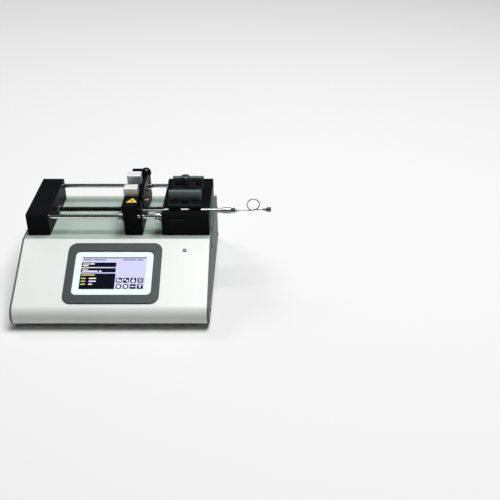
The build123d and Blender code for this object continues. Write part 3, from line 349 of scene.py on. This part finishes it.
# =====================  node trees  =====================
def shape_tree(name, sizes):
    """A geometry tree with one named number input for each size."""
    tree = bpy.data.node_groups.new(name, "GeometryNodeTree")
    for size, value in sizes.items():
        kind = "NodeSocketInt" if isinstance(value, int) else "NodeSocketFloat"
        tree.interface.new_socket(size, in_out="INPUT", socket_type=kind)
    tree.interface.new_socket("Shape", in_out="OUTPUT", socket_type="NodeSocketGeometry")
    given = tree.nodes.new("NodeGroupInput")
    return tree, given


def wired(tree, kind, links=(), **values):
    """Adds a node, sets plain values by input name and links the rest."""
    node = tree.nodes.new(kind)
    for socket, value in values.items():
        node.inputs[socket.replace("_", " ")].default_value = value
    for socket, source in dict(links).items():
        tree.links.new(source, node.inputs[socket])
    return node


def grown(tree, sizes, shape, finish, name):
    """Ends a tree, runs it with its sizes and gives the result as a plain mesh."""
    solid = wired(tree, "GeometryNodeRealizeInstances", {"Geometry": shape})
    coat = wired(tree, "GeometryNodeSetMaterial", {"Geometry": solid.outputs[0]}, Material=finish)
    out = tree.nodes.new("NodeGroupOutput")
    tree.links.new(coat.outputs[0], out.inputs["Shape"])
    holder = bpy.data.objects.new(name + "_holder", bpy.data.meshes.new(name + "_seed"))
    bpy.context.scene.collection.objects.link(holder)
    growth = holder.modifiers.new("shape", "NODES")
    growth.node_group = tree
    for item in tree.interface.items_tree:
        if item.in_out == "INPUT" and item.name in sizes:
            growth[item.identifier] = sizes[item.name]
    return plain_mesh(holder, name)


def helix_ridge(name, radius, pitch, length, wire, sides, finish, flat=0.0):
    """A wire wound on a helix about +Z: a spring, or with flat ends a screw's thread."""
    sizes = {"Radius": radius, "Turns": length / pitch, "Length": length, "Wire": wire}
    tree, given = shape_tree(name + "_tree", sizes)
    wound = wired(
        tree,
        "GeometryNodeCurveSpiral",
        {
            "Rotations": given.outputs["Turns"],
            "Start Radius": given.outputs["Radius"],
            "End Radius": given.outputs["Radius"],
            "Height": given.outputs["Length"],
        },
        Resolution=28,
    )
    wire_links = {"Radius": given.outputs["Wire"]}
    profile = wired(tree, "GeometryNodeCurvePrimitiveCircle", wire_links, Resolution=sides)
    swept = wired(
        tree,
        "GeometryNodeCurveToMesh",
        {"Curve": wound.outputs[0], "Profile Curve": profile.outputs[0]},
    )
    swept.inputs["Fill Caps"].default_value = True
    return grown(tree, sizes, swept.outputs[0], finish, name)


def knurl_ridges(name, radius, height, count, ridge, finish):
    """Straight ridges set evenly round a turned grip about +Z."""
    sizes = {"Radius": radius, "Height": height, "Ridge": ridge, "Count": count}
    tree, given = shape_tree(name + "_tree", sizes)
    ring = wired(
        tree,
        "GeometryNodeMeshCircle",
        {"Vertices": given.outputs["Count"], "Radius": given.outputs["Radius"]},
    )
    bar = wired(
        tree,
        "GeometryNodeMeshCylinder",
        {"Radius": given.outputs["Ridge"], "Depth": given.outputs["Height"]},
        Vertices=6,
    )
    set_out = wired(
        tree,
        "GeometryNodeInstanceOnPoints",
        {"Points": ring.outputs[0], "Instance": bar.outputs["Mesh"]},
    )
    return grown(tree, sizes, set_out.outputs[0], finish, name)


def turn_to(mesh, axis, centre):
    """Turns a mesh made about +Z to an axis and moves it to its place."""
    spin = Vector((0, 0, 1)).rotation_difference(Vector(axis)).to_matrix().to_4x4()
    mesh.transform(Matrix.Translation(centre) @ spin)
    return mesh


def joined(name, meshes):
    """One mesh out of several, each closed in itself."""
    form = bmesh.new()
    for mesh in meshes:
        form.from_mesh(mesh)
    result = bpy.data.meshes.new(name)
    form.to_mesh(result)
    form.free()
    for mesh in meshes:
        bpy.data.meshes.remove(mesh)
    result.shade_smooth()
    result.set_sharp_from_angle(angle=radians(35))
    return result


# =====================  CAD pieces with their finishes  =====================
for node, thing in nodes.items():
    finish = finishes[node_slot[node]]
    thing.data.materials.clear()
    thing.data.materials.append(finish)

edge_widths = {
    "front_cover": 0.35, "rear_cover": 0.35, "deck_plate": 0.25, "base_plate": 0.2,
    "side_plate_left": 0.15, "side_plate_right": 0.15, "side_plate_screws": 0.15,
    "drive_cover": 0.3, "bearing_plate": 0.3, "holder_block": 0.45, "clamp_bridge": 0.35,
    "carriage_body": 0.5, "retainer_plate": 0.35, "retainer_pins": 0.2, "release_button": 0.2,
    "flange_jaw_front": 0.25, "flange_jaw_rear": 0.25, "clamp_cap_screws": 0.12,
    "screen_bezel": 0.0, "rubber_feet": 0.25, "indicator_holder": 0.25, "indicator_lens": 0.25,
    "power_inlet": 0.3, "switch_frame": 0.25, "rocker_switch": 0.4, "data_sockets": 0.12,
    "control_connector": 0.2, "guide_rods": 0.0, "rod_bushes": 0.2, "half_nut": 0.3,
    "carriage_collar": 0.0, "stop_collar": 0.0, "screw_collar": 0.2, "clamp_stud": 0.2,
    "syringe_barrel": 0.15, "syringe_plunger": 0.2, "plunger_seal": 0.1, "barrel_gland": 0.0,
    "outlet_tube": 0.0, "tube_nuts": 0.12, "retainer_knob": 0.0, "motor_shaft": 0.2,
    "stepper_motor": 0.4, "motor_bracket": 0.3, "power_supply": 0.3, "control_board": 0.1,
    "display_board": 0.1, "display_panel": 0.2, "board_standoffs": 0.15, "drive_belt": 0.1,
    "screw_pulley": 0.0, "motor_pulley": 0.0, "screw_bearings": 0.0,
}
for node, width in edge_widths.items():
    eased(node, width)


# =====================  lead screw  =====================
def lead_screw():
    """Core, journals and a wound thread, in place of the plain shaft."""
    low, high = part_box("lead_screw")
    centre = middle("lead_screw")
    thread_radius = span("lead_screw").y / 2
    journal = 0.003
    pitch = 0.002
    thread_depth, wire, wire_sunk = 0.0011, 0.00078, 0.0003
    gap_left, gap_right = 0.001, 0.0006
    root = thread_radius - thread_depth
    collar_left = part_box("screw_collar")[0].x - gap_left
    thread_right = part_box("holder_block")[0].x - gap_right
    start = Vector((low.x, centre.y, centre.z))
    a, b, c = collar_left - low.x, thread_right - low.x, high.x - low.x
    core = turned(
        [(0, 0), (journal, 0), (journal, a), (root, a), (root, b), (journal, b), (journal, c), (0, c)],
        (1, 0, 0), start,
    )
    black = finishes["black_oxide"]
    length = b - a - pitch
    ridge = helix_ridge("screw_thread", root + wire_sunk, pitch, length, wire, 4, black)
    turn_to(ridge, (1, 0, 0), Vector((collar_left + pitch / 2, centre.y, centre.z)))
    shape = joined("lead_screw_threaded", [from_form(core, "screw_core"), ridge])
    piece = as_piece("lead_screw_threaded", shape, black, "lead_screw")
    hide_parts("lead_screw")


# =====================  knobs and thumb screws  =====================
def grip(name, node, axis, start, radius, height, count, hole_depth=0.0, shank=None):
    """A knurled grip, a little domed at its end, in place of a CAD node."""
    finish = own_finishes.get(node, finishes[node_slot[node]])
    edge = radius - 0.0005
    profile = [(0, 0), (edge, 0), (radius - 0.00025, 0.0004)]
    profile += [(radius - 0.00025, height - 0.0006), (edge - 0.0002, height - 0.0002)]
    profile += [(edge - 0.0009, height), (0, height)]
    body = from_form(turned(profile, axis, start, 64), name + "_body")
    ridges = knurl_ridges(name + "_ridges", radius - 0.00045, height - 0.0016, count, 0.00045, finish)
    turn_to(ridges, axis, Vector(start) + Vector(axis) * (height / 2))
    parts = [body, ridges]
    if shank:
        pin = [(0, -shank[1]), (shank[0], -shank[1]), (shank[0], 0), (0, 0)]
        parts.append(from_form(turned(pin, axis, start, 24), name + "_shank"))
    piece = as_piece(name, joined(name, parts), finish, node_body[node])
    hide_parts(node)


def clamp_knob():
    low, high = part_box("clamp_knob")
    centre = middle("clamp_knob")
    grip(
        "clamp_knob_knurled", "clamp_knob", (0, 0, 1), (centre.x, centre.y, low.z),
        (high.x - low.x) / 2, high.z - low.z, count=40,
    )


def thumb_screw(node):
    """Knurled head towards the front, with its shank in the collar."""
    low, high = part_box(node)
    centre = middle(node)
    head, shank_radius = 0.006, 0.0015
    radius = (high.x - low.x) / 2
    shank = (shank_radius, high.y - low.y - head)
    start = (centre.x, low.y + head, centre.z)
    grip(node + "_knurled", node, (0, -1, 0), start, radius, head, count=24, shank=shank)


# =====================  clamp spring  =====================
def clamp_spring():
    low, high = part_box("clamp_spring")
    centre = middle("clamp_spring")
    wire, pitch = 0.0005, 0.002
    radius = (high.x - low.x) / 2 - wire
    length = high.z - low.z - 2 * wire
    coil = helix_ridge("clamp_spring_coil", radius, pitch, length, wire, 8, finishes["stainless"])
    turn_to(coil, (0, 0, 1), Vector((centre.x, centre.y, low.z + wire)))
    coil.shade_smooth()
    piece = as_piece("clamp_spring_coil", coil, finishes["stainless"], "pump_base")
    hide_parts("clamp_spring")


# =====================  screen  =====================
def panel_normal():
    """Outward direction of the slanted panel, from the screen glass's largest face."""
    largest = max((f for f in nodes["touch_glass"].data.polygons if f.normal.z > 0.1), key=lambda f: f.area)
    return largest.normal.copy()


class Panel:
    """Places on the slanted panel: right and down from the screen's middle, in millimetres."""

    def __init__(self):
        self.out = panel_normal()
        self.right = Vector((1, 0, 0))
        self.down = self.right.cross(self.out)
        if self.down.z > 0:
            self.down.negate()
        thickness = 0.0011
        self.centre = middle("touch_glass") + self.out * (thickness / 2)

    def at(self, right, down, out=0.0):
        return self.centre + (self.right * right + self.down * down + self.out * out) * MM


panel = Panel()
picture_wide = 95.04
picture_tall = 53.86
face_level, ink_level, mark_level = 0.04, 0.08, 0.12    # heights above the glass
layer_thickness = 0.03
line_height = 0.034
key_left, key_step, key_width = 0.560, 0.109, 0.088     # the four columns of dark keys


def rounded_outline(wide, tall, corner, steps=6):
    """Points round a rectangle with round corners, about (0, 0)."""
    points = []
    for quarter, (sx, sy) in enumerate(((1, 1), (-1, 1), (-1, -1), (1, -1))):
        for k in range(steps + 1):
            turn = (quarter + k / steps) * pi / 2
            x = sx * (wide / 2 - corner) + corner * cos(turn)
            y = sy * (tall / 2 - corner) + corner * sin(turn)
            points.append((x, y))
    return points


def flat_shape(form, points, low, high):
    """A thin closed plate on the panel: its outline and its height range above the glass."""
    bottom = [form.verts.new(panel.at(x, y, low)) for x, y in points]
    top = [form.verts.new(panel.at(x, y, high)) for x, y in points]
    form.faces.new(bottom[::-1])
    form.faces.new(top)
    for k in range(len(points)):
        n = (k + 1) % len(points)
        form.faces.new((bottom[k], bottom[n], top[n], top[k]))


def on_picture(x, y):
    """A place on the picture, from shares of its width and height, in panel millimetres."""
    return (x - 0.5) * picture_wide, (y - 0.5) * picture_tall


def plate(form, x0, y0, x1, y1, level, corner=0.0):
    """A plate on the picture between two corners given as shares of it."""
    (left, top), (right, bottom) = on_picture(x0, y0), on_picture(x1, y1)
    wide, tall = right - left, bottom - top
    mx, my = (left + right) / 2, (top + bottom) / 2
    corner = min(corner, wide / 2.01, tall / 2.01)
    if corner:
        points = [(mx + x, my + y) for x, y in rounded_outline(wide, tall, corner)]
    else:
        points = [(left, top), (right, top), (right, bottom), (left, bottom)]
    flat_shape(form, points, level - layer_thickness, level)


def screen_layer(name, form, finish):
    mesh = from_form(form, name)
    return as_piece(name, mesh, finish, "pump_base")


def screen():
    """The glass with its pale border, the lit picture and the picture's plain marks."""
    eased("touch_glass", 0.15)

    face = bmesh.new()
    plate(face, 0, 0, 1, 1, face_level)
    screen_layer("picture_face", face, finishes["screen_face"])

    ink = bmesh.new()
    plate(ink, 0, 0, 1, 0.030, ink_level)
    plate(ink, 0.0, 0.167, 0.535, 0.310, ink_level)
    plate(ink, 0.0, 0.346, 0.535, 0.480, ink_level)
    plate(ink, 0.0, 0.515, 0.540, 1.0, ink_level)
    for x, length in ((0.02, 0.13), (0.17, 0.20), (0.63, 0.20), (0.85, 0.10)):
        plate(ink, x, 0.070, x + length, 0.095, ink_level, 0.4)
    for k in range(4):
        left = key_left + key_step * k
        plate(ink, left, 0.650, left + key_width, 0.800, ink_level, 0.8)
        plate(ink, left, 0.845, left + key_width, 0.990, ink_level, 4.0 if k < 2 else 0.8)
    screen_layer("picture_dark_fields", ink, screen_ink)

    amber = bmesh.new()
    for x, y, length in ((0.02, 0.195, 0.13), (0.02, 0.370, 0.09), (0.02, 0.545, 0.20)):
        plate(amber, x, y, x + length, y + line_height, mark_level, 0.4)
    for row in range(3):
        plate(amber, 0.02, 0.650 + 0.09 * row, 0.09, 0.684 + 0.09 * row, mark_level, 0.4)
    screen_layer("picture_amber_marks", amber, screen_amber)

    white = bmesh.new()
    marks = ((0.02, 0.245, 0.09), (0.14, 0.195, 0.06), (0.02, 0.425, 0.24), (0.28, 0.425, 0.04))
    for x, y, length in marks:
        plate(white, x, y, x + length, y + line_height, mark_level, 0.4)
    for row, length in enumerate((0.11, 0.11, 0.06)):
        plate(white, 0.14, 0.650 + 0.09 * row, 0.14 + length, 0.684 + 0.09 * row, mark_level, 0.4)
    icon_marks(white)
    screen_layer("picture_white_marks", white, screen_white)


def icon_marks(form):
    """One plain white sign in each of the eight dark keys."""
    first, second, third, fourth = [key_left + key_step * k for k in range(4)]
    for left in (first, second):
        plate(form, left + 0.018, 0.875, left + 0.070, 0.960, mark_level, 2.4)
    plate(form, first + 0.015, 0.675, first + 0.040, 0.770, mark_level, 0.3)
    plate(form, first + 0.050, 0.710, first + 0.076, 0.770, mark_level, 0.3)
    plate(form, second + 0.016, 0.680, second + 0.042, 0.735, mark_level, 0.3)
    plate(form, second + 0.052, 0.720, second + 0.074, 0.775, mark_level, 0.3)
    plate(form, third + 0.020, 0.720, third + 0.068, 0.780, mark_level, 0.3)
    plate(form, third + 0.034, 0.670, third + 0.054, 0.715, mark_level, 0.3)
    for bar in range(3):
        high = 0.678 + 0.036 * bar
        plate(form, fourth + 0.016, high, fourth + 0.072, high + 0.016, mark_level, 0.2)
    plate(form, third + 0.014, 0.905, third + 0.074, 0.930, mark_level, 0.2)
    plate(form, fourth + 0.032, 0.880, fourth + 0.056, 0.955, mark_level, 0.2)
    plate(form, fourth + 0.014, 0.870, fourth + 0.074, 0.890, mark_level, 0.2)


# =====================  warning label  =====================
def block(form, low, high):
    """A closed box between two corners."""
    x, y = (low[0], high[0]), (low[1], high[1])
    corners = [(x[0], y[0]), (x[1], y[0]), (x[1], y[1]), (x[0], y[1])]
    bottom = [form.verts.new((*c, low[2])) for c in corners]
    top = [form.verts.new((*c, high[2])) for c in corners]
    form.faces.new(bottom[::-1])
    form.faces.new(top)
    for k in range(4):
        n = (k + 1) % 4
        form.faces.new((bottom[k], bottom[n], top[n], top[k]))


def warning_label():
    """A plain yellow triangle with a dark bar and dot."""
    eased("pinch_warning_label", 0.0)
    low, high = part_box("pinch_warning_label")
    x, y = (low.x + high.x) / 2, low.y + (high.y - low.y) / 3
    half, under, over = 0.0009, high.z - 0.00005, high.z + 0.00006
    bar, dot = (-0.0010, 0.0044), (-0.0034, -0.0019)
    ink = bmesh.new()
    for start, end in (bar, dot):
        block(ink, (x - half, y + start, under), (x + half, y + end, over))
    mark = from_form(ink, "pinch_warning_mark")
    as_piece("pinch_warning_mark", mark, label_ink, "carriage")


def holder_marks():
    """A set screw and a fine engraved line on the holder's front face."""
    low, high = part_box("holder_block")
    proud = 0.00008
    rim, bore, depth, bed = 0.0019, 0.0009, 0.0006, 0.0012
    screw_right, screw_down = 0.0068, 0.0042
    line_start, line_end, line_down, half_line = 0.0100, 0.0340, 0.0095, 0.0003
    profile = [(0, -bed), (rim, -bed), (rim, -proud), (rim - proud, proud)]
    profile += [(bore, proud), (bore, -depth), (0, -depth)]
    screw = turned(profile, (0, -1, 0), (low.x + screw_right, low.y, high.z - screw_down), 32)
    mesh = from_form(screw, "holder_set_screw")
    as_piece("holder_set_screw", mesh, finishes["black_oxide"], "pump_base")
    line = bmesh.new()
    start, end, level = low.x + line_start, low.x + line_end, high.z - line_down
    block(line, (start, low.y - proud, level - half_line), (end, low.y + bed, level + half_line))
    mesh = from_form(line, "holder_line")
    as_piece("holder_line", mesh, finishes["bezel_plastic"], "pump_base")


lead_screw()
clamp_knob()
thumb_screw("carriage_thumb_screw")
thumb_screw("stop_thumb_screw")
clamp_spring()
screen()
warning_label()
holder_marks()


# =====================  floor, light and camera  =====================
def floor():
    mesh = bpy.data.meshes.new("floor")
    reach = 20.0
    corners = [(-reach, -reach, 0), (reach, -reach, 0), (reach, reach, 0), (-reach, reach, 0)]
    mesh.from_pydata(corners, [], [(0, 1, 2, 3)])
    thing = bpy.data.objects.new("floor", mesh)
    bpy.context.scene.collection.objects.link(thing)
    mesh.materials.append(Finish("floor_white", (0.68, 0.68, 0.68), 0.9, Specular_IOR_Level=0.0).material)


def soft_light(name, place, target, wide, tall, power):
    data = bpy.data.lights.new(name, "AREA")
    data.shape = "RECTANGLE"
    data.size = wide
    data.size_y = tall
    data.energy = power
    lamp = bpy.data.objects.new(name, data)
    bpy.context.scene.collection.objects.link(lamp)
    lamp.location = place
    lamp.rotation_euler = (Vector(target) - Vector(place)).to_track_quat("-Z", "Y").to_euler()


def studio():
    """A soft sky, bright overhead and in front and dim low down behind, and two large soft lights."""
    world = bpy.data.worlds.new("studio")
    bpy.context.scene.world = world
    world.use_nodes = True
    tree = world.node_tree
    place = tree.nodes.new("ShaderNodeTexCoord")
    split = tree.nodes.new("ShaderNodeSeparateXYZ")
    lean = tree.nodes.new("ShaderNodeMath")
    lean.operation = "MULTIPLY_ADD"
    front_share = -0.28
    lean.inputs[1].default_value = front_share
    rise = tree.nodes.new("ShaderNodeMapRange")
    rise.interpolation_type = "SMOOTHSTEP"
    for socket, value in (("From Min", 0.55), ("From Max", 1.0), ("To Min", 0.20), ("To Max", 1.6)):
        rise.inputs[socket].default_value = value
    tree.links.new(place.outputs["Generated"], split.inputs[0])
    tree.links.new(split.outputs["Y"], lean.inputs[0])
    tree.links.new(split.outputs["Z"], lean.inputs[2])
    tree.links.new(lean.outputs[0], rise.inputs["Value"])
    tree.links.new(rise.outputs[0], tree.nodes["Background"].inputs["Strength"])
    soft_light("overhead", (0.7, 0.1, 3.1), (0, 0, 0), 1.6, 1.6, 130)
    soft_light("back_left", (-1.6, 1.6, 2.2), (0, 0, 0), 1.0, 1.0, 22)
    bpy.context.scene.view_settings.view_transform = "Standard"


def camera():
    data = bpy.data.cameras.new("camera")
    data.sensor_width = 36
    data.lens = 60.57
    data.shift_x = -0.0316
    data.shift_y = -0.0460
    thing = bpy.data.objects.new("camera", data)
    bpy.context.scene.collection.objects.link(thing)
    thing.location = (0.2231, -1.1027, 0.7331)
    thing.rotation_euler = (radians(60), 0, 0)
    bpy.context.scene.camera = thing


floor()
studio()
camera()
